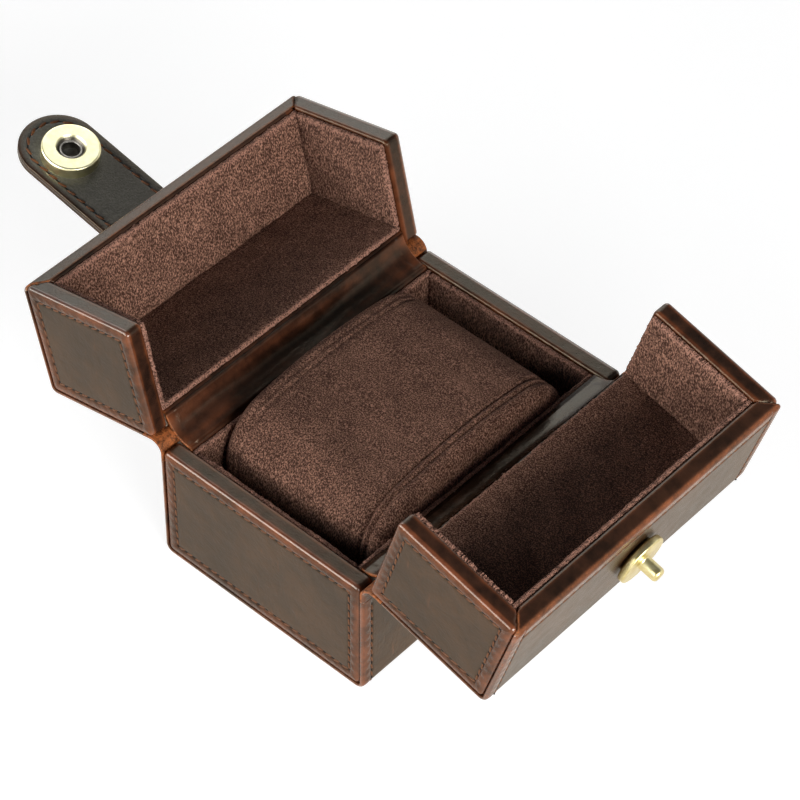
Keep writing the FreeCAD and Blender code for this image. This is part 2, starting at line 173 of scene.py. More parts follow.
leather, shader, place = new_finish("waxed_leather")
burnish = place.mark("burnish")
raw = place.mark("raw")
cloud = place.noise(26.0, 3.0)
patch = place.noise(5.0, 4.0, 0.6)
grain = place.noise(0.5, 3.0, 0.6)
pore = place.noise(0.7, 2.0, 0.7)
streak = place.stretched(1.0, 1.0, 0.12).noise(1.3, 4.0, 0.6).smooth(0.6, 0.76)
scuff = streak * place.noise(17.0, 2.0).smooth(0.48, 0.62)
field = (0.6 * cloud + 0.4 * patch).smooth(0.36, 0.64).mix(colour(42, 27, 15), colour(64, 43, 26))
field = (0.6 * pore.smooth(0.5, 0.7)).mix(field, colour(22, 13, 7))
field = (scuff * 0.5).mix(field, colour(110, 68, 42))
# Where a piece is marked for it, as the strap is, the leather is painted a light neutral grey: painted sheen
# that stands in for the pale room it reflects.
painted_sheen_grey = pore.smooth(0.3, 0.7).mix(colour(70, 71, 69), colour(90, 91, 88))
field = place.mark("cool").mix(field, painted_sheen_grey)
dark = (0.5 * cloud + 0.5 * patch).smooth(0.36, 0.64).mix(colour(30, 18, 13), colour(60, 36, 25))
worn = (cloud * 0.5 + patch * 0.5).smooth(0.32, 0.7).mix(colour(58, 31, 18), colour(128, 70, 41))
rubbed = burnish.smooth(0.3, 1.0).mix(burnish.smooth(0.0, 0.3).mix(field, dark), worn)
crack = place.noise(1.6, 4.0, 0.65)
flesh = (0.6 * crack + 0.4 * grain).smooth(0.36, 0.62).mix(colour(64, 32, 18), colour(166, 94, 50))
fill_sockets(shader, {
    "Base Color": raw.mix(rubbed, flesh),
    "Roughness": 0.33 + 0.2 * (patch - 0.5) + 0.3 * raw - 0.12 * burnish.smooth(0.0, 0.3),
    "IOR": 1.36,
    "Specular Tint": (1.0, 0.87, 0.62, 1.0),
    "Coat Weight": burnish.smooth(0.78, 0.96) * (1 - raw),
    "Coat Roughness": 0.16,
    "Normal": (grain * 0.06 + patch * 0.14 - pore * 0.06).bump(),
})

thread, shader, place = new_finish("waxed_thread")
twist = place.noise(0.25, 2.0)
aged = twist.mix(colour(66, 42, 27), colour(126, 84, 56))
fresh = twist.mix(colour(74, 43, 21), colour(126, 77, 42))
# The pricked holes are flat hexagons painted near black, as the shade inside each hole.
fill_sockets(shader, {
    "Base Color": place.mark("pit").mix(place.mark("fresh").mix(aged, fresh), colour(8, 5, 3)),
    "Roughness": 0.7,
    "Specular IOR Level": 0.2,
})


def grid_quads(rows, columns):
    """The quads between neighbouring rows and columns of a grid whose last column meets its first."""
    number = np.arange(rows * columns).reshape(rows, columns)
    number = np.hstack([number, number[:, :1]])
    quads = np.stack([number[:-1, :-1], number[:-1, 1:], number[1:, 1:], number[1:, :-1]], axis=-1)
    return quads.reshape(-1, 4).tolist()


def made_piece(name, points, faces, finish, slot, **marks):
    """A piece from points in millimetres: doubles merged, faces outwards, and one attribute per mark."""
    mesh = bpy.data.meshes.new(name)
    mesh.from_pydata((np.reshape(points, (-1, 3)) / 1000).tolist(), [], faces)
    for mark, amounts in marks.items():
        attribute = mesh.attributes.new(mark, "FLOAT", "POINT")
        attribute.data.foreach_set("value", np.asarray(amounts, np.float32).ravel())
    shape = bmesh.new()
    shape.from_mesh(mesh)
    bmesh.ops.remove_doubles(shape, verts=shape.verts, dist=2e-6)
    bmesh.ops.recalc_face_normals(shape, faces=shape.faces)
    shape.to_mesh(mesh)
    shape.free()
    mesh.shade_smooth()
    mesh.materials.append(finish)
    piece = bpy.data.objects.new(name, mesh)
    bpy.context.scene.collection.objects.link(piece)
    return piece


def smoothstep(low, high, value):
    """0 below low, 1 above high, and 3t^2 - 2t^3 between."""
    share = np.clip((value - low) / (high - low), 0, 1)
    return share * share * (3 - 2 * share)


def rounded_path(corners, radii, step=0.5):
    """Points and right-hand normals along straight runs whose corners are arcs tangent to both runs: the
    normal of a run is its direction turned right, and an arc turns the point and the normal alike."""
    corners = np.asarray(corners, float)
    runs = np.diff(corners, axis=0)
    ways = runs / np.linalg.norm(runs, axis=1)[:, None]
    turns = [math.atan2(a[0] * b[1] - a[1] * b[0], a @ b) for a, b in zip(ways, ways[1:])] + [0.0]
    start, points, normals = corners[0], [], []
    for corner, way, turn, radius in zip(corners[1:], ways, turns, [*radii, 0.0]):
        right = np.array([way[1], -way[0]])
        stop = corner - way * radius * math.tan(abs(turn) / 2)
        share = np.linspace(0, 1, max(3, round(np.linalg.norm(stop - start) / step)))[:, None]
        points.append(start + share * (stop - start))
        normals.append(np.tile(right, (len(share), 1)))
        angle = np.linspace(0, turn, 10)[1:, None]
        centre = stop - math.copysign(radius, turn) * right
        arm = stop - centre
        if turn:
            points.append(centre + np.cos(angle) * arm + np.sin(angle) * np.array([-arm[1], arm[0]]))
            normals.append(np.cos(angle) * right + np.sin(angle) * way)
            start = points[-1][-1]
    points, normals = np.vstack(points), np.vstack(normals)
    apart = np.r_[True, np.linalg.norm(np.diff(points, axis=0), axis=1) > 1e-6]
    return points[apart], normals[apart]


def rim_profile(edge, thickness, back, under):
    """Inset and depth from the flat field out over the edge and in again underneath. The sewn line is a
    bell-shaped valley, the border outside it swells as half a sine, and both edges are quarter circles. The
    last row is how rubbed each place is: not in the field, some on the border, most on the front edge."""
    across = np.r_[BAND, 5.2, 4.7, np.linspace(4.4, 3.2, 9), np.linspace(2.9, edge, 6)]
    turn = np.linspace(0, math.pi / 2, 7)
    wall = np.array([0.12, 0.3, 0.7, 0.88]) if thickness > edge + back + 0.5 else np.zeros(0)
    bare = np.r_[across, turn[1:], wall, turn, 0] * 0
    inset = np.r_[across, edge * (1 - np.sin(turn[1:])), 0 * wall, back * (1 - np.cos(turn)), under]
    depth = np.r_[0 * across, edge * (1 - np.cos(turn[1:])), edge + wall * (thickness - edge - back),
                  thickness - back + back * np.sin(turn), thickness]
    valley = SEAM_DEPTH * np.exp(-((across - SEAM_INSET) / SEAM_WIDTH) ** 2)
    swell = 0.14 * np.sin(math.pi * np.clip((across - edge) / (3.4 - edge), 0, 1))
    seam = bare + np.r_[valley - swell, bare[len(across):]]
    border = 0.6 * (1 - smoothstep(3.0, 4.4, across)) + 0.16 * (1 - smoothstep(1.0, 2.4, across))
    rubbed = np.r_[border, np.linspace(0.8, 1, len(turn) - 1), 0.26 + 1.6 * (wall - 0.5) ** 2,
                   np.linspace(0.77, 0.6, len(turn)), 0.3]
    return inset, depth, seam, rubbed


def long_sheet(path, reach, rim, sewn, dent=None, field=30):
    """A sheet carried along a path, as a grid of rows on the path and columns round its section: one edge,
    the inner face, the other edge, the outer face. Across the path y = f (reach - band) + s (band - inset),
    where s is 1 or -1 in the edge bands and 0 between them. Each point sinks along the path's normal by the
    rim's depth, by the sewn line's, and on the outer face by what dent gives for its y."""
    points, normals = path
    inset, depth, seam, rubbed = rim
    flat = np.linspace(1, -1, field + 2)[1:-1]
    none, thickness = 0 * flat, depth[-1]
    faced = (depth == 0) * smoothstep(2.5, 4.0, inset)
    side = np.r_[1 + 0 * inset, none, -1 - 0 * inset, none]
    share = np.r_[1 + 0 * inset, flat, -1 - 0 * inset, -flat]
    insets = np.r_[inset, none + BAND, inset[::-1], none + BAND]
    depths = np.r_[depth, none + thickness, depth[::-1], none]
    seams = np.r_[seam, none, seam[::-1], none]
    outer = np.r_[faced, none, faced[::-1], none + 1]
    rows = np.ones((len(points), 1))
    reach, sewn = (rows * np.reshape(amount, (-1, 1)) for amount in (reach, sewn))
    y = share * (reach - BAND) + side * (BAND - insets)
    sink = depths + sewn * seams
    if dent:
        sink = sink + outer * dent(y)
    across = points[:, :1] - normals[:, :1] * sink
    up = points[:, 1:] - normals[:, 1:] * sink
    faces = grid_quads(*y.shape)
    faces += [list(range(y.shape[1])), list(range(y.size - y.shape[1], y.size))]
    wear = rows * np.r_[rubbed, none, rubbed[::-1], none]
    return across, y, up, faces, wear, rows * (depths > 0.5 * thickness)


def path_run(points):
    """The length of a line from its start to each of its points."""
    return np.r_[0, np.cumsum(np.linalg.norm(np.diff(points, axis=0), axis=1))]


PITCH = 3.2
THREAD = 0.38
SLANT = 11.0
PULL = 0.4
STITCH_ROWS = 7
STITCH_SIDES = 6
STITCH_HALF = 0.43
STITCH_LIFT, STITCH_DIP, STITCH_FLAT = 0.10, 0.26, 0.8
# Length, width and lift of the flat hexagon painted near black as the shade in each pricked hole.
HOLE_SHADE_LONG, HOLE_SHADE_WIDE, HOLE_SHADE_LIFT = 0.95, 0.5, 0.08


def pulled(run):
    """How deep a stitch line is pulled in along its run: deepest at the pricked holes."""
    count = max(2, round((run[-1] - run[0]) / PITCH))
    return 1 + PULL * np.cos(2 * math.pi * count * (run - run[0]) / (run[-1] - run[0]))


def sew(name, lines, pitch=PITCH, radius=THREAD, slant=SLANT, fresh=0.0):
    """Saddle stitches along lines on a surface, each a points and a normals array. A stitch is a capsule:
    along it s = -cos t, its radius is the root of sin t, and it dips at both ends by cos^4 t into a pricked
    hole, a flat hexagon painted near black as the shade inside the hole. Stitches lie askew by slant degrees
    and a little more or less by seeded chance, and fresh is the share of the newer thread's colour."""
    chance = np.random.default_rng(11)
    quads = np.array(grid_quads(STITCH_ROWS, STITCH_SIDES))
    size = STITCH_ROWS * STITCH_SIDES
    points, pits, faces = [], [], []
    for line, normals in lines:
        length = path_run(line)
        count = max(2, round(length[-1] / pitch))
        step = length[-1] / count
        middle = (np.arange(count) + 0.5) * step

        def at(where, what):
            """What the line carries at those lengths."""
            return np.stack([np.interp(where, length, what[:, axis]) for axis in range(3)], axis=-1)

        way = at(middle + 0.2, line) - at(middle - 0.2, line)
        way /= np.linalg.norm(way, axis=1)[:, None]
        up = at(middle, normals)
        up /= np.linalg.norm(up, axis=1)[:, None]
        beside = np.cross(up, way)
        skew = np.radians(slant + chance.normal(0, 3, count))[:, None, None, None]
        turn = np.linspace(0, math.pi, STITCH_ROWS)[None, :, None, None]
        corner = np.linspace(0, 2 * math.pi, STITCH_SIDES, endpoint=False)
        about = corner[None, None, :, None]
        along = -np.cos(turn) * STITCH_HALF * pitch
        thick = radius * np.sqrt(np.sin(turn).clip(0))
        centre, way4, up4, beside4 = (part[:, None, None, :] for part in (at(middle, line), way, up, beside))
        stitch = centre + way4 * along * np.cos(skew)
        stitch = stitch + beside4 * (along * np.sin(skew) + thick * np.cos(about))
        rise = STITCH_LIFT - STITCH_DIP * np.cos(turn) ** 4 + STITCH_FLAT * thick * np.sin(about)
        stitch = stitch + up4 * rise
        hole = corner[None, :, None]
        pricked = np.r_[middle - 0.5 * step, length[-1]]
        way3, beside3 = (np.r_[part, part[-1:]][:, None] for part in (way, beside))
        prick = at(pricked, line)[:, None] + HOLE_SHADE_LIFT * at(pricked, normals)[:, None]
        prick = prick + HOLE_SHADE_LONG * np.cos(hole) * way3 + HOLE_SHADE_WIDE * np.sin(hole) * beside3
        first = sum(len(part) for part in points)
        faces += (first + quads[None] + size * np.arange(count)[:, None, None]).reshape(-1, 4).tolist()
        first += size * count
        corners = STITCH_SIDES * (count + 1)
        faces += (first + np.arange(corners).reshape(-1, STITCH_SIDES)).tolist()
        points += [stitch.reshape(-1, 3), prick.reshape(-1, 3)]
        pits += [np.zeros(size * count), np.ones(corners)]
    pits = np.concatenate(pits)
    return made_piece(name, np.vstack(points), faces, thread, "leather", pit=pits, fresh=fresh + 0 * pits)


half_width, half_length = 1000 * np.array(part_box("tray_wrap")[1][:2])
left_top = 1000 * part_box("left_hinge_leather")[0][2]
right_top = 1000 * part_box("right_hinge_leather")[0][2]
lower_top = min(left_top, right_top)

sheet_rim = rim_profile(SHEET_EDGE, LEATHER, BACK_EDGE, BAND)
wrap_corners = [(-half_width, left_top), (-half_width, 0), (half_width, 0), (half_width, right_top)]
wrap_path = rounded_path(wrap_corners, [TRAY_CORNER, TRAY_CORNER])
height = wrap_path[0][:, 1]
wrap_sewn = 1 - smoothstep(lower_top - 4, lower_top - 0.6, height)
keep = wrap_sewn > 0.6
pull = np.ones(len(keep))
pull[keep] = pulled(path_run(wrap_path[0][keep]))
x, y, z, faces, rubbed, inner = long_sheet(wrap_path, half_length, sheet_rim, wrap_sewn * pull)
wrap = made_piece("tray_outer_leather", np.stack([x, y, z], -1), faces, leather, "leather",
                  burnish=rubbed, raw=0 * inner)
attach(wrap, "tray")
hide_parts("tray_wrap")

line, normals = wrap_path
seams = []
for y_line in (SEAM_INSET - half_length, half_length - SEAM_INSET):
    sunk = line[keep] - SEAM_DEPTH * normals[keep]
    level = np.zeros(len(sunk))
    seams.append((np.stack([sunk[:, 0], level + y_line, sunk[:, 1]], -1),
                  np.stack([normals[keep, 0], level, normals[keep, 1]], -1)))
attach(sew("tray_outer_stitching", seams), "tray")


# End panels of the tray
# A board at each end, wrapped in leather that is turned over all four edges and glued down behind. The turned
# edges are round, and a stitch runs round the face. Each panel stands between the outer sheet's two sides.

PANEL_EDGE = 1.2
PANEL_BACK = 1.0
PANEL_CORNER = 1.6
FOOT_CORNER = 1.9
TURN_IN = 9.0
SIDE_STEPS = 96


def panel_rings(low, high, radii, inset, side_steps, corner_steps=7):
    """A rounded rectangle once for every inset: its sides move in by that much but not past the middle, its
    corners are arcs whose radius shrinks alike, and every ring has the same number of points."""
    low, high, radii = np.array(low, float), np.array(high, float), np.array(radii, float)
    moved = np.minimum(np.asarray(inset)[:, None], (high - low) / 2)
    near, far = low + moved, high - moved
    radius = np.maximum(radii - np.asarray(inset)[:, None], 0)
    angle = np.radians([180, 270, 0, 90])[:, None] + np.linspace(0, math.pi / 2, corner_steps)
    a = np.stack([near[:, 0], far[:, 0], far[:, 0], near[:, 0]], 1) + radius * np.array([1, -1, -1, 1])
    b = np.stack([near[:, 1], near[:, 1], far[:, 1], far[:, 1]], 1) + radius * np.array([1, 1, -1, -1])
    arc = np.stack([a[..., None] + radius[..., None] * np.cos(angle),
                    b[..., None] + radius[..., None] * np.sin(angle)], -1)
    share = np.linspace(0, 1, side_steps + 2)[1:-1, None]
    start, stop = arc[:, :, -1:], np.roll(arc[:, :, :1], -1, axis=1)
    ring = np.concatenate([arc, start + share * (stop - start)], axis=2)
    return ring.reshape(len(ring), -1, 2)


def wrapped_board(low, high, radii, thickness):
    """A leather-wrapped board as rings from the middle of its face out over the sewn border and the round
    edge to the turned-in strip behind, and back inside the leather to the middle."""
    inset, depth, seam, rubbed = rim_profile(PANEL_EDGE, thickness, PANEL_BACK, TURN_IN)
    middle = min(np.subtract(high, low)) / 2
    fill = np.linspace(middle, BAND, 6)[:-1]
    inside = np.array([TURN_IN, LEATHER, LEATHER, middle])
    inset = np.r_[fill, inset, inside]
    depth = np.r_[0 * fill, depth, thickness - LEATHER, thickness - LEATHER, LEATHER, LEATHER]
    seam = np.r_[0 * fill, seam, 0 * inside]
    rings = panel_rings(low, high, radii, inset, SIDE_STEPS)
    pull = pulled(path_run(border_line(low, high, radii)))[:-1]
    rubbed = np.r_[0 * fill, rubbed, 0 * inside]
    depth = depth[:, None] + seam[:, None] * pull
    return rings[..., 0], rings[..., 1], depth, rubbed[:, None] + 0 * depth


def border_line(low, high, radii):
    """The closed line of the panel's stitch: its outline moved in by the seam's inset."""
    ring = panel_rings(low, high, radii, [SEAM_INSET], SIDE_STEPS)[0]
    return np.vstack([ring, ring[:1]])


for end, way in (("front", -1), ("rear", 1)):
    low, high = (1000 * np.array(corner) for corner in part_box(f"tray_{end}_cover"))
    span = (low[[0, 2]], high[[0, 2]])
    radii = (FOOT_CORNER, FOOT_CORNER, PANEL_CORNER, PANEL_CORNER)
    thickness = high[1] - low[1]
    a, b, h, rubbed = wrapped_board(*span, radii, thickness)
    points = np.stack([a, way * (half_length - h), b], -1)
    panel = made_piece(f"tray_{end}_panel", points, grid_quads(*a.shape), leather, "leather",
                       burnish=rubbed, raw=0 * rubbed)
    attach(panel, "tray")
    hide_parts(f"tray_{end}_cover")
    ring = border_line(*span, radii)
    level = np.zeros(len(ring))
    line = np.stack([ring[:, 0], level + way * (half_length - SEAM_DEPTH), ring[:, 1]], -1)
    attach(sew(f"tray_{end}_stitching", [(line, np.stack([level, level + way, level], -1))]), "tray")


# Leather of the lids
# Each lid is half a box of the same build: one sheet over its side and top, turned in round the free rim, and
# a wrapped board at each end. On the free rim the sheet is cut at a slant to meet the end boards in a mitre.

LID_HEIGHT = 43.8
MEETING_GAP = 0.8
FIT = 0.2
LID_CORNER = 2.4
TURNED_RIM = 6.0
RIM_ROUND = 2.0
RIM_SEAM = 5.6
# How rubbed each lid's free rim face is; the right one is set lower, painted darker as shade.
RIM_WEAR_AND_SHADE = {"left": 0.5, "right": 0.24}
RIM_BARE = {"left": 0.6, "right": 0.2}
DIP = 1.7
HINGE_BEND = 4.2
HINGE_LAP = 1.0

joints = {joint["name"]: joint for joint in frame["joints"]}
lids = {}
for side, way in (("left", -1), ("right", 1)):
    joint = joints[f"{side}_lid_hinge"]
    lids[side] = {
        "way": way,
        "open": math.radians(-joint["range_deg"][0]),
        "x": 1000 * abs(joint["pos_m"][0]),
        "z": 1000 * joint["pos_m"][2],
    }
hinge_out = lids["left"]["x"] - half_width
tray_top = 1000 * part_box("tray_front_cover")[1][2]
rise = lids["left"]["z"] - tray_top


def in_lid(side, u, y, v):
    """A point of the shut lid, u from its outer side, v above its lower rim, swung open about its hinge."""
    lid = lids[side]
    out, up = u + hinge_out, v + rise
    x = -lid["x"] + out * math.cos(lid["open"]) - up * math.sin(lid["open"])
    z = lid["z"] + out * math.sin(lid["open"]) + up * math.cos(lid["open"])
    return np.stack(np.broadcast_arrays(-lid["way"] * x, y, z), -1)


def turned_in_lid(side, u, v):
    """A direction of the shut lid, turned with it."""
    lid = lids[side]
    x = u * math.cos(lid["open"]) - v * math.sin(lid["open"])
    z = u * math.sin(lid["open"]) + v * math.cos(lid["open"])
    return np.stack(np.broadcast_arrays(-lid["way"] * x, 0 * u, z), -1)


lid_width = half_width - MEETING_GAP / 2
inner_reach = half_length - TURNED_RIM - FIT
seam_reach = half_length - SEAM_INSET

for side in ("left", "right"):
    lid = lids[side]
    half = lid["open"] / 2
    lid["bend"] = (HINGE_BEND - hinge_out) * math.tan(half) + HINGE_LAP - rise
    u_in, v_in = lid_width - TURN_IN, LID_HEIGHT - TURNED_RIM
    corners = [(u_in, v_in), (lid_width, v_in), (lid_width, LID_HEIGHT), (0, LID_HEIGHT),
               (0, lid["bend"])]
    path = rounded_path(corners, [PANEL_EDGE, RIM_ROUND, LID_CORNER])
    u_path, v_path = path[0].T
    run = path_run(path[0])
    from_corner = run - run[np.argmin(np.hypot(u_path - lid_width, v_path - LID_HEIGHT))]
    on_rim = u_path > lid_width - RIM_ROUND - 0.01
    turned = (v_path < v_in + 0.7) & (from_corner < 0)
    reach = np.where(on_rim, half_length - np.clip(LID_HEIGHT - v_path, 0, TURNED_RIM), half_length)
    reach = np.where(turned, inner_reach, reach)
    mitre = on_rim & (from_corner < 0.5) & ~turned
    sewn = smoothstep(lid["bend"] + 0.6, lid["bend"] + 4, v_path) * (1 - (mitre | turned))
    keep = (sewn > 0.6) & (from_corner > RIM_SEAM - 0.8)
    pull = np.ones(len(run))
    pull[keep] = pulled(run[keep])
    seam_row = SEAM_DEPTH * np.exp(-((u_path - lid_width + RIM_SEAM) / 0.4) ** 2)
    seam_row = seam_row * (v_path > LID_HEIGHT - 0.1)
    rim_stitches = round(2 * seam_reach / PITCH)

    def rim_dent(y):
        """The sewn valley along the free rim, pulled deeper at each stitch."""
        return seam_row[:, None] * (1 + PULL * np.cos(math.pi * rim_stitches * (y / seam_reach + 1)))

    u, y, v, faces, rubbed, inner = long_sheet(path, reach, sheet_rim, sewn * pull, rim_dent, field=160)

    # Rubbed round the free rim: its border up to the seam, its corner and its inner edge. The right lid's rim
    # face is also painted darker than the left's, as shade.
    from_inner = from_corner + TURNED_RIM - 0.9
    sewn_border = 0.76 * (1 - smoothstep(RIM_SEAM - 2.4, RIM_SEAM + 0.2, from_corner))
    glow = np.where(from_corner > 0, sewn_border, RIM_WEAR_AND_SHADE[side])
    glow = np.maximum(glow, 0.78 * np.exp(-(from_corner / 0.9) ** 2))
    glow = np.where(turned, 0.3, np.maximum(glow, 0.77 * np.exp(-(from_inner / 1.2) ** 2)))
    rubbed = np.maximum(rubbed * (1 - 0.5 * mitre[:, None]), glow[:, None] * (inner < 0.5))

    # Bare at the cut mitres and, where it is most handled, along both edges of the rim.
    cut = smoothstep(-1.1, -0.5, np.abs(y) - reach[:, None])
    edges = np.exp(-(from_corner / 0.6) ** 2) + np.exp(-(from_inner / 0.8) ** 2)
    edges = RIM_BARE[side] * edges[:, None] * (inner < 0.5) * ~turned[:, None]
    sheet = made_piece(f"{side}_lid_leather", in_lid(side, u, y, v), faces, leather, "leather",
                       burnish=rubbed, raw=np.maximum(mitre[:, None] * cut, edges))
    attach(sheet, f"{side}_lid")
    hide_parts(f"{side}_lid_cover")

    seams = []
    sunk = path[0][keep] - SEAM_DEPTH * path[1][keep]
    facing = turned_in_lid(side, path[1][keep, 0], path[1][keep, 1])
    for y_line in (-seam_reach, seam_reach):
        seams.append((in_lid(side, sunk[:, 0], y_line, sunk[:, 1]), facing))
    y_row = np.linspace(-seam_reach, seam_reach, 100)
    level = 0 * y_row
    rim_line = in_lid(side, lid_width - RIM_SEAM + level, y_row, LID_HEIGHT - SEAM_DEPTH + level)
    seams.append((rim_line, turned_in_lid(side, level, 1 + level)))
    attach(sew(f"{side}_lid_top_stitching", seams), f"{side}_lid")

    for end, way in (("front", -1), ("rear", 1)):
        span = ((LEATHER + FIT, 0.0), (lid_width, LID_HEIGHT - LEATHER - FIT))
        radii = (PANEL_CORNER,) * 4
        a, b, h, rubbed = wrapped_board(*span, radii, TURNED_RIM)
        dip = DIP * smoothstep(-0.3, 0.9, b - (LID_HEIGHT - h))
        dip = dip * smoothstep(lid_width - 3.0, lid_width - 1.4, a)
        points = in_lid(side, a - dip, way * (half_length - h), b)
        panel = made_piece(f"{side}_lid_{end}_panel", points, grid_quads(*a.shape), leather, "leather",
                           burnish=rubbed, raw=0 * rubbed)
        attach(panel, f"{side}_lid")
        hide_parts(f"{side}_lid_{end}_cover")
        ring = border_line(*span, radii)
        line = in_lid(side, ring[:, 0], way * (half_length - SEAM_DEPTH) + 0 * ring[:, 0], ring[:, 1])
        facing = np.tile([0.0, way, 0.0], (len(ring), 1))
        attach(sew(f"{side}_lid_{end}_stitching", [(line, facing)]), f"{side}_lid")


# Leather hinges
# The outer sheet bends freely between tray and lid, with its rough flesh side bare in the gap. Inside, a
# separate strip lies hollow from rim to rim, and is glued down behind the linings.

STRIP = 1.0
STRIP_TURN = 12.0
STRIP_EDGE = 1.2
STRIP_ROUND = 0.4
STRIP_FLAT = 0.4
STRIP_GLUED = 2.0
CREASE = 2.9
FOLD = 0.34
# How rubbed each inner hinge strip is: the left one is painted browner as the light on it, the right one
# darker as shade.
STRIP_WEAR_AND_LIGHT = {"left": 0.42, "right": 0.15}

for side in ("left", "right"):
    lid = lids[side]
    half = lid["open"] / 2
    hand = -lid["way"]
    lid_way = np.array([-math.sin(lid["open"]), math.cos(lid["open"])])
    rim_way = np.array([math.cos(lid["open"]), math.sin(lid["open"])])

    def row_point(point):
        """A point of the hinge's section, in the left hinge's hand, as a point of the row in metres."""
        return (hand * point[0] / 1000, 0.0, point[1] / 1000)

    corner = np.array([-half_width, lid["z"] + hinge_out * math.tan(half)])
    leg = HINGE_BEND * math.tan(half) + HINGE_LAP
    ends = [corner + leg * lid_way, corner - np.array([0, leg])]
    path = rounded_path([ends[0], corner, ends[1]], [CREASE], 0.3)
    x, y, z, faces, rubbed, inner = long_sheet(path, half_length, sheet_rim, 0.0)
    from_end = np.min([np.linalg.norm(path[0] - end, axis=1) for end in ends], axis=0)
    bare = smoothstep(0.2, 2.5, from_end)[:, None]
    raw_mark = np.clip(inner + 0.3 * smoothstep(0.8, 1.0, rubbed) * bare, 0, 1) * np.maximum(bare, inner)
    bent = made_piece(f"{side}_outer_hinge", np.stack([hand * x, y, z], -1), faces, leather, "leather",
                      burnish=rubbed, raw=raw_mark)
    row_point(ends[1] + np.array([0, HINGE_LAP]))
    row_point(ends[0] - HINGE_LAP * lid_way)
    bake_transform(bent)
    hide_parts(f"{side}_hinge_leather")

    apex = np.array([-lid["x"] - rise / math.tan(half), tray_top])
    inner_edge = -1000 * min(abs(corner[0]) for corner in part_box(f"{side}_hinge_strip"))
    edge_at = inner_edge - apex[0]
    lid_edge = apex + edge_at * rim_way
    corners = [(inner_edge, tray_top - STRIP_TURN), (inner_edge, tray_top), apex, lid_edge,
               lid_edge + STRIP_TURN * lid_way]
    path = rounded_path(corners, [STRIP_EDGE, (edge_at - STRIP_FLAT) * math.tan(half), STRIP_EDGE], 0.3)
    strip_rim = rim_profile(STRIP_ROUND, STRIP, BACK_EDGE, BAND)
    run = path_run(path[0])
    share = (run - STRIP_TURN) / (run[-1] - 2 * STRIP_TURN)

    def folds(y):
        """Two soft folds along the hollow, a cosine across it, and five shallow creases, a sine, that both
        wander along it and fade towards the glued edges."""
        wander = share[:, None] + 0.03 * np.sin(y / 11 + 1) + 0.02 * np.sin(y / 4.3)
        fold = FOLD * np.cos(4 * math.pi * wander) + 0.08 * np.sin(10 * math.pi * wander + y / 17)
        return fold * (smoothstep(0.08, 0.3, share) * (1 - smoothstep(0.7, 0.92, share)))[:, None]

    x, y, z, faces, rubbed, inner = long_sheet(path, inner_reach, strip_rim, 0.0, folds, field=60)
    from_cut = inner_reach - np.abs(y)
    ridge = 0.2 * np.clip(-folds(y) / FOLD, 0, 1) + 0.25 * np.exp(-(from_cut / 2.0) ** 2)
    bare = np.maximum(0.6 * inner, np.exp(-(from_cut / 0.3) ** 2))
    # The strip's tone is wear on its folds and cut ends, plus painted light on the left strip and painted
    # shade on the right.
    strip = made_piece(f"{side}_inner_hinge", np.stack([hand * x, y, z], -1), faces, leather, "leather",
                       burnish=STRIP_WEAR_AND_LIGHT[side] + ridge, raw=bare)
    free = edge_at - STRIP_GLUED
    row_point(apex + np.array([free, 0]))
    row_point(apex + free * rim_way)
    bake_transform(strip)
    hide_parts(f"{side}_hinge_strip")


# Suede linings
# Panels of thick brown suede glued to the inside of every wall. Their cut edges stop short of the rims and are
# softly frayed, and the nap is brushed into small tufts.

SUEDE = 1.8
FLOOR_SUEDE = 1.5
SOFT_EDGE = 0.7
FRAY = 0.13
DROP = 0.8
WALL = 6.7

suede, shader, place = new_finish("brushed_suede")
lip = place.mark("lip")
tuft = place.stretched(1.0, 0.85, 0.42).noise(0.34, 2.0, 0.6)
brushed = place.noise(8.0, 3.0, 0.6)
nap = (tuft + 0.16 * (brushed - 0.5)).smooth(0.4, 0.74)
tone = nap.mix(colour(60, 39, 30), colour(172, 128, 107))
fill_sockets(shader, {
    "Base Color": (lip * tuft.smooth(0.35, 0.6) * 0.85).mix(tone, colour(168, 124, 106)),
    "Roughness": 1.0,
    "Specular IOR Level": 0.1,
    "Sheen Weight": 0.12,
    "Sheen Roughness": 0.4,
    "Sheen Tint": colour(190, 140, 120),
    "Normal": (tuft * 0.35).bump(),
})


def soft_slab(low, high, thickness, seed):
    """A panel of soft sheet as rings from the middle of its face over a round edge to the middle of its back.
    Each point of the edge is moved a little by its own seeded amount, as a cut nap frays."""
    turn = np.linspace(0, math.pi / 2, 5)
    middle = min(np.subtract(high, low)) / 2
    face = np.r_[np.linspace(middle, 2.4, 6), 1.6, 1.1]
    aside, down = SOFT_EDGE * (1 - np.sin(turn)), SOFT_EDGE * (1 - np.cos(turn))
    inset = np.r_[face, aside, down, middle]
    depth = np.r_[0 * face, down, thickness - aside, thickness]
    rings = panel_rings(low, high, (SOFT_EDGE,) * 4, inset, 130, 4)
    fray = np.random.default_rng(seed).normal(0, FRAY, (3, rings.shape[1]))
    loose = (1 - smoothstep(0.9, 1.8, inset))[:, None] * (depth < 0.8 * thickness)[:, None]
    a, b = rings[..., 0] + loose * fray[0], rings[..., 1] + loose * fray[1]
    return a, b, depth[:, None] + loose * np.abs(fray[2])


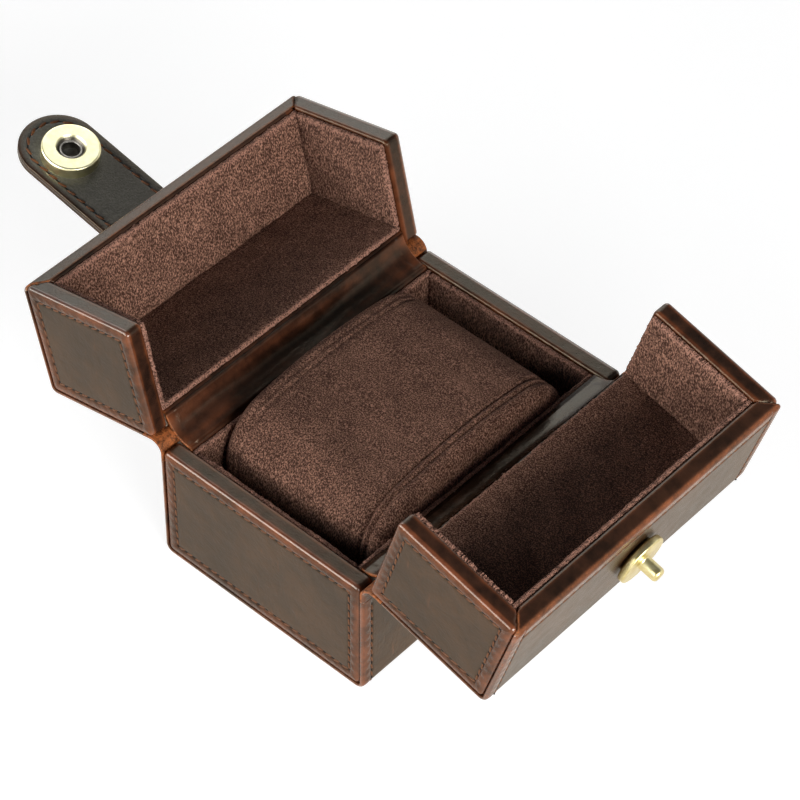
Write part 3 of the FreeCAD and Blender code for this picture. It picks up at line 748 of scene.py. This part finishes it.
def line_wall(name, body, axes, low, high, face, thickness):
    """A lining on the wall whose two directions are axes[:2], with its face at that place on axes[2] and its
    back behind it. Slow waves of a tenth of a millimetre keep the glued sheet from looking ruled."""
    a, b, h = soft_slab(low, high, abs(thickness), len(name))
    wave = 0.10 * np.sin(a / 3.1 + 2 * b / 7.3) + 0.08 * np.sin(a / 5.7 - b / 4.1)
    place = [None] * 3
    place[axes[0]], place[axes[1]] = a, b
    place[axes[2]] = face + math.copysign(1, thickness) * (h + wave * (h < 0.5 * abs(thickness)))
    if body == "tray":
        lip = smoothstep(tray_top - 2.2, tray_top - 0.9, place[2])
        points = np.stack(place, -1)
    else:
        lip = smoothstep(lid_width - 2.8, lid_width - 1.4, place[0])
        lip = np.maximum(lip, 1 - smoothstep(0.9, 2.2, place[2]))
        points = in_lid(body.split("_")[0], *place)
    piece = made_piece(f"{name}_suede", points, grid_quads(*a.shape), suede, "suede", lip=lip)
    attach(piece, body)
    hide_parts(f"{name}_lining")


inside = half_length - TURNED_RIM
tray_inside = half_width - WALL
tray_lined = tray_inside - SUEDE
seat = 1000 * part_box("tray_floor_lining")[1][2]
lip_top = tray_top - DROP
line_wall("tray_floor", "tray", (0, 1, 2), (-tray_inside, -inside), (tray_inside, inside), seat, -FLOOR_SUEDE)
for side, way in (("left", -1), ("right", 1)):
    line_wall(f"tray_{side}", "tray", (1, 2, 0), (-inside, seat), (inside, lip_top),
              way * tray_lined, way * SUEDE)
for end, way in (("front", -1), ("rear", 1)):
    line_wall(f"tray_{end}", "tray", (0, 2, 1), (-tray_lined, seat), (tray_lined, lip_top),
              way * (inside - SUEDE), way * SUEDE)
low_u, high_u = WALL + SUEDE, lid_width - DROP
low_v, high_v = DROP, LID_HEIGHT - TURNED_RIM
for side in ("left", "right"):
    line_wall(f"{side}_lid_side", f"{side}_lid", (1, 2, 0), (-inside, low_v), (inside, high_v),
              low_u, -SUEDE)
    line_wall(f"{side}_lid_top", f"{side}_lid", (0, 1, 2), (low_u, -inside), (high_u, inside),
              high_v - SUEDE, SUEDE)
    for end, way in (("front", -1), ("rear", 1)):
        line_wall(f"{side}_lid_{end}", f"{side}_lid", (0, 2, 1), (low_u, low_v), (high_u, high_v - SUEDE),
                  way * (inside - SUEDE), way * SUEDE)


# Pillow
# A block of foam in a sewn suede cover: a band round its length and a cap at each end, joined by felled seams.
# It lies loose in the tray. The cover is tight over the crown and drawn in a little at the sides.

COVER = ("pillow_band", "pillow_left_cap", "pillow_right_cap")
CROWN = 5.0
SHOULDER = 15.0
FOOT = 5.0
DRAWN_IN = 0.9
END_ROUND = 4.0
SEAM_IN = 4.5
SEAM_WIDE = 2.2
GROOVE = 0.6
GROOVE_DEPTH = {"left": 0.4, "right": 0.85}
LONG_STEPS = 150

pillow_low = 1000 * np.min([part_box(name)[0] for name in COVER], axis=0)
pillow_high = 1000 * np.max([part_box(name)[1] for name in COVER], axis=0)


def pillow_form():
    """The cover as rows along x and columns round a section. The section is a rounded block with a crown,
    z + c (1 - (y/r)^2) w^2, and sides drawn in by half a sine. Rows close up to the middle at each end along a
    quarter circle, and dip in two fine grooves at each seam."""
    reach_x, reach_y, crest = pillow_high
    foot = pillow_low[2]
    top = crest - CROWN
    corners = [(0, foot), (reach_y, foot), (reach_y, top), (-reach_y, top), (-reach_y, foot), (0, foot)]
    y, z = rounded_path(corners, [FOOT, SHOULDER, SHOULDER, FOOT], 1.4)[0][:-1].T
    share = (z - foot) / (top - foot)
    z = z + CROWN * (1 - (y / reach_y) ** 2) * share ** 2
    y = y * (1 - DRAWN_IN / reach_y * np.sin(math.pi * np.clip(share, 0, 1)))
    turn = np.linspace(0, math.pi / 2, 8)
    cap = np.linspace(25, 6, 5)
    straight = np.linspace(-1, 1, LONG_STEPS)[1:-1] * (reach_x - END_ROUND)
    end = np.r_[reach_x + 0 * cap, reach_x - END_ROUND + END_ROUND * np.cos(turn)]
    end_close = np.r_[cap, END_ROUND * (1 - np.sin(turn))]
    x = np.r_[-end, straight, end[::-1]]
    close = np.r_[end_close, 0 * straight, end_close[::-1]]
    from_seam = np.abs(x) - (reach_x - SEAM_IN)
    grooves = np.exp(-(from_seam / GROOVE) ** 2) + np.exp(-((from_seam + SEAM_WIDE) / GROOVE) ** 2)
    close = close + np.where(x > 0, GROOVE_DEPTH["right"], GROOVE_DEPTH["left"]) * grooves
    shrink_y, shrink_z = (1 - close[:, None] / size for size in (reach_y, crest - foot))
    return np.stack([x[:, None] + 0 * y, shrink_y * y, foot + (z - foot) * shrink_z], -1)


form = pillow_form()
rows, columns = form.shape[:2]
ends = [list(range(columns)), list(range(rows * columns - columns, rows * columns))]
faces = grid_quads(rows, columns) + ends
pillow = made_piece("pillow", form, faces, suede, "suede", lip=np.zeros(rows * columns))
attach(pillow, "pillow")
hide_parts("pillow_foam", "pillow_band", "pillow_left_cap", "pillow_right_cap")


# Strap
# Two layers of the same leather, painted light grey as the sheen they show, and sewn together all round.
# The root is sewn flat on the left lid's top, the strap bends up from it, and its round free end carries the
# snap's socket.

STRAP_LAYER = 1.4
STRAP_EDGE = 0.5
STRAP_SEAM = 3.0
STRAP_DIP = 0.2
STRAP_PITCH = 4.0
STRAP_THREAD = 0.48
STRAP_SLANT = 15.0
STRAP_START = 1.5
STRAP_AXIS = 16.0
STRAP_BEND = 3.2
BEND_BEFORE, BEND_AFTER = 2.6, 2.1
STRAP_REST = math.radians(66)
STRAP_REACH = 61.22
STRAP_CORNER = 1.6
STRAP_STEPS = (70, 24)
LAYERS_GAP = 0.06

half_strap = 1000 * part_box("strap_root")[1][1]
strap_level = LID_HEIGHT + STRAP_LAYER
strap_way = np.array([math.cos(STRAP_REST), math.sin(STRAP_REST)])
pivot = np.array([STRAP_AXIS, strap_level])
strap_corners = [(STRAP_START, strap_level), pivot, pivot + STRAP_REACH * strap_way]
strap_line, strap_right = rounded_path(strap_corners, [STRAP_BEND])
strap_run = path_run(strap_line)


def along_strap(run, across, above):
    """A point of the flat strap, laid along its bent middle line: the line's point at that run, moved along
    its normal. Above is towards the side with the socket."""
    u, v = (np.interp(run, strap_run, strap_line[:, axis]) for axis in (0, 1))
    right_u, right_v = (np.interp(run, strap_run, strap_right[:, axis]) for axis in (0, 1))
    return in_lid("left", u + above * right_u, across, v + above * right_v)


def strap_facing(run, way):
    """The direction away from the strap's face on that side."""
    right_u, right_v = (np.interp(run, strap_run, strap_right[:, axis]) for axis in (0, 1))
    return way * turned_in_lid("left", right_u, right_v)


flat_low, flat_high = (0.0, -half_strap), (strap_run[-1], half_strap)
tip_radii = (STRAP_CORNER, half_strap - 0.01, half_strap - 0.01, STRAP_CORNER)
bend_start = along_strap(STRAP_AXIS - STRAP_START - BEND_BEFORE, 0.0, 0.0) / 1000
bend_end = along_strap(STRAP_AXIS - STRAP_START + BEND_AFTER, 0.0, 0.0) / 1000
for layer, way in (("inner", 1), ("outer", -1)):
    turn = np.linspace(0, math.pi / 2, 5)
    face = np.r_[np.linspace(half_strap, 4.6, 5), np.linspace(3.8, 2.2, 9), 1.6, 1.0]
    inset = np.r_[face, STRAP_EDGE * (1 - np.sin(turn)), 0.0, LAYERS_GAP, half_strap]
    dip = STRAP_DIP * np.exp(-((face - STRAP_SEAM) / SEAM_WIDTH) ** 2)
    dip = dip - 0.08 * np.sin(math.pi * np.clip((face - STRAP_EDGE) / 2.2, 0, 1))
    depth = np.r_[dip, STRAP_EDGE * (1 - np.cos(turn)), STRAP_LAYER - LAYERS_GAP, STRAP_LAYER, STRAP_LAYER]
    rubbed = np.r_[0.04 + 0.14 * (1 - smoothstep(1.0, 2.6, face)), 0.3 + 0 * turn, 0.3, 0.3, 0.3]
    rings = panel_rings(flat_low, flat_high, tip_radii, inset, *STRAP_STEPS)
    wide = np.ones(rings.shape[:2])
    points = along_strap(rings[..., 0], rings[..., 1], way * (STRAP_LAYER - depth[:, None] * wide))
    # Both layers are marked for the painted grey sheen.
    piece = made_piece(f"strap_{layer}_layer", points, grid_quads(*wide.shape), leather, "leather",
                       burnish=rubbed[:, None] * wide, raw=0 * wide, cool=wide)
    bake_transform(piece)
    if layer == "inner":
        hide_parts("strap_inner_leather", "strap_root", "strap_bend")
    else:
        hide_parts("strap_outer_leather")
    ring = panel_rings(flat_low, flat_high, tip_radii, [STRAP_SEAM], *STRAP_STEPS)[0]
    ring = np.vstack([ring, ring[:1]])
    line = along_strap(ring[:, 0], ring[:, 1], way * (STRAP_LAYER - STRAP_DIP))
    seam = (line, strap_facing(ring[:, 0], way))
    stitches = sew(f"strap_{layer}_stitching", [seam], STRAP_PITCH, STRAP_THREAD, STRAP_SLANT, fresh=1.0)
    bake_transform(stitches)


# Magnetic snap
# A turned brass socket with a ring magnet and a nickel eyelet, riveted through the strap, and a brass stud
# with a round-tipped post on the right lid. The socket's turned solids stay and are plated; the stud is new.

# Radii from the socket's axis where the painted shade in its mouth is full and where it ends.
MOUTH_SHADE_FULL, MOUTH_SHADE_END = 3.9, 4.9
SNAP_REACH = 20.5
STUD_RADIUS = 8.2
STUD_FOOT = 5.8
STUD_POST = 2.25
STUD_ROUND = 0.6


def plated(name, dull, bright):
    """A plated metal: soft clouds between a dull and a bright tone, and a fine unevenness."""
    finish, shader, place = new_finish(name)
    cloudy = place.noise(3.0, 4.0, 0.65)
    fill_sockets(shader, {
        "Base Color": cloudy.smooth(0.3, 0.7).mix(dull, bright),
        "Metallic": 1.0,
        "Roughness": 0.30 + 0.12 * (cloudy - 0.4),
        "Normal": (place.noise(0.2, 2.0) * 0.004).bump(),
    })
    return finish, shader, place


champagne, shader, place = plated("champagne_brass", colour(236, 229, 178), colour(253, 247, 204))
cup_middle = tuple(500 * np.add(*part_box("snap_cup")))
cup_way = tuple(strap_facing(strap_run[-1], 1.0))
aside = place.node("ShaderNodeVectorMath", {"operation": "SUBTRACT"}, {0: place, 1: cup_middle})
aside = aside.node("ShaderNodeVectorMath", {"operation": "CROSS_PRODUCT"}, {0: aside, 1: cup_way})
from_axis = aside.node("ShaderNodeVectorMath", {"operation": "LENGTH"}, {0: aside}, "Value")
plating = Value(shader.inputs["Base Color"].links[0].from_socket)
# Inside the cup's mouth the brass is painted dark grey, fading out towards the rim, as the shade in the
# recess.
mouth_shade = from_axis.smooth(MOUTH_SHADE_FULL, MOUTH_SHADE_END)
fill_sockets(shader, {"Base Color": mouth_shade.mix(colour(76, 72, 64), plating)})
golden = plated("golden_brass", colour(206, 190, 130), colour(232, 222, 172))[0]
nickel = plated("dull_nickel", colour(110, 107, 100), colour(160, 156, 148))[0]
frame["nodes"]["snap_cup"].material_slots[0].material = champagne
for name in ("snap_magnet", "snap_eyelet", "snap_cup_plate", "snap_stud_plate"):
    frame["nodes"][name].material_slots[0].material = nickel


def stud_profile():
    """Radius and height of the turned stud from the middle of its foot to its tip: a straight foot in the
    leather, a disc whose rim is two quarter circles, a small hollow up to the post, and a flat tip whose edge
    is a quarter ellipse."""
    turn = np.linspace(0, math.pi / 2, 6)
    out, back = STUD_ROUND * np.sin(turn), STUD_ROUND * np.cos(turn)
    rim = STUD_RADIUS - STUD_ROUND
    post = STUD_POST + np.array([0.5, 0.15, 0.0, 0.0])
    radius = np.r_[0.0, STUD_FOOT, STUD_FOOT, rim + out, rim + back, post, STUD_POST - 1 + np.cos(turn), 0.0]
    height = np.r_[-0.4, -0.4, 0.9, 1.5 - back, 2.6 + out, 3.2, 3.35, 3.7, 8.2, 8.2 + 1.2 * np.sin(turn), 9.4]
    return radius[:, None], height[:, None]


stud_radius, stud_height = stud_profile()
angle = np.linspace(0, 2 * math.pi, 64, endpoint=False)
points = in_lid("right", lid_width - SNAP_REACH + stud_radius * np.cos(angle),
                stud_radius * np.sin(angle), LID_HEIGHT + stud_height)
stud = made_piece("stud", points, grid_quads(len(stud_radius), len(angle)), golden, "snap_brass")
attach(stud, "right_lid")
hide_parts("snap_stud")


# Stage
# A pale floor in a pale room under soft studio light: a lamp on the right and a wide, low one in front on the
# left. Two cards show only in reflections, where they draw the highlights on rims and metal.

FLOOR_LIGHT = 0.86
FLOOR_GREY = 0.41
FLOOR_GLOW = 0.79
FLOOR_WARM = (0.77, 0.70, 0.60, 1)
ROOM_LIGHT = ((0.10, 0.10, 0.105, 1), (0.03, 0.03, 0.033, 1))
ROOM_SHOWN = ((1, 1, 1, 1), (0.14, 0.15, 0.17, 1))
CAMERA_TURN = (41.61, 46.93, 0.76)
CAMERA_PLACE = (0.42746, -0.47926, 0.73459)
CAMERA_LENS = 148.906
CAMERA_SENSOR = 36.0


def area_lamp(name, power, width, tall, position, target=(0.0, 0.0, 0.04)):
    """An oblong lamp that faces a point."""
    lamp = bpy.data.lights.new(name, "AREA")
    lamp.energy, lamp.shape, lamp.size, lamp.size_y = power, "RECTANGLE", width, tall
    holder = bpy.data.objects.new(name, lamp)
    back = np.array(position) - np.array(target)
    back = back / np.linalg.norm(back)
    right = np.cross((0, 0, 1), back)
    right = right / np.linalg.norm(right)
    turn = np.eye(4)
    turn[:3, :3] = np.stack([right, np.cross(back, right), back], 1)
    turn[:3, 3] = position
    holder.matrix_world = Matrix(turn)
    bpy.context.scene.collection.objects.link(holder)
    return holder


area_lamp("right_lamp", 15.0, 0.76, 0.5, (0.97, -0.26, 0.38))
area_lamp("front_lamp", 11.5, 1.5, 0.28, (-0.52, -0.84, 0.38))
front_card = area_lamp("front_card", 14.0, 1.1, 0.6, (-0.30, -0.90, 0.62))
back_card = area_lamp("back_card", 6.0, 0.9, 0.9, (-0.75, 0.68, 0.78))
for card in (front_card, back_card):
    card.visible_diffuse = False

mesh = bpy.data.meshes.new("floor")
mesh.from_pydata([(-4, -4, 0), (4, -4, 0), (4, 4, 0), (-4, 4, 0)], [], [(0, 1, 2, 3)])
floor = bpy.data.objects.new("floor", mesh)
bpy.context.scene.collection.objects.link(floor)


def seen_rays(tree):
    """1 for a ray from the camera or through a clear piece, and 1 for a ray of a reflection; both are 0 for
    light on its way to the object."""
    ray = tree.nodes.new("ShaderNodeLightPath")
    kinds = ("Camera", "Glossy", "Transmission")
    straight, mirrored, through = (Value(ray.outputs[f"Is {kind} Ray"]) for kind in kinds)
    return straight + through, mirrored


def grey(level):
    """A colour without a hue."""
    return (level, level, level, 1)


paper = bpy.data.materials.new("pale_floor")
paper.use_nodes = True
tree = paper.node_tree
shade = tree.nodes["Principled BSDF"]
seen, mirrored = seen_rays(tree)
fill_sockets(shade, {
    "Base Color": (seen + mirrored).mix(grey(FLOOR_LIGHT), grey(FLOOR_GREY)),
    "Roughness": 0.9,
    "Specular IOR Level": 0.0,
    "Emission Color": mirrored.mix(seen.mix(grey(0), grey(FLOOR_GLOW)), FLOOR_WARM),
    "Emission Strength": 1.0,
})
floor.data.materials.append(paper)

world = bpy.data.worlds.new("pale_room")
bpy.context.scene.world = world
world.use_nodes = True
tree = world.node_tree
sky = Value(tree.nodes.new("ShaderNodeTexCoord").outputs["Generated"])
ceiling = sky.node("ShaderNodeSeparateXYZ", {}, {0: sky}, "Z").smooth(0.3, 0.75)
light = ceiling.mix(*ROOM_LIGHT)
shown = ceiling.mix(*ROOM_SHOWN)
seen, mirrored = seen_rays(tree)
fill_sockets(tree.nodes["Background"], {"Color": (seen + mirrored).mix(light, shown), "Strength": 1.0})

bpy.context.scene.view_settings.view_transform = "Standard"

azimuth, elevation, roll = (math.radians(angle) for angle in CAMERA_TURN)
right = np.array([math.cos(azimuth), math.sin(azimuth), 0])
level = math.cos(elevation)
back = np.array([math.sin(azimuth) * level, -math.cos(azimuth) * level, math.sin(elevation)])
up = np.cross(back, right)
turn = np.eye(4)
turn[:3, 0] = math.cos(roll) * right + math.sin(roll) * up
turn[:3, 1] = math.cos(roll) * up - math.sin(roll) * right
turn[:3, 2] = back
turn[:3, 3] = CAMERA_PLACE
lens = bpy.data.cameras.new("camera")
lens.lens, lens.sensor_width = CAMERA_LENS, CAMERA_SENSOR
camera = bpy.data.objects.new("camera", lens)
camera.matrix_world = Matrix(turn)
bpy.context.scene.collection.objects.link(camera)
bpy.context.scene.camera = camera
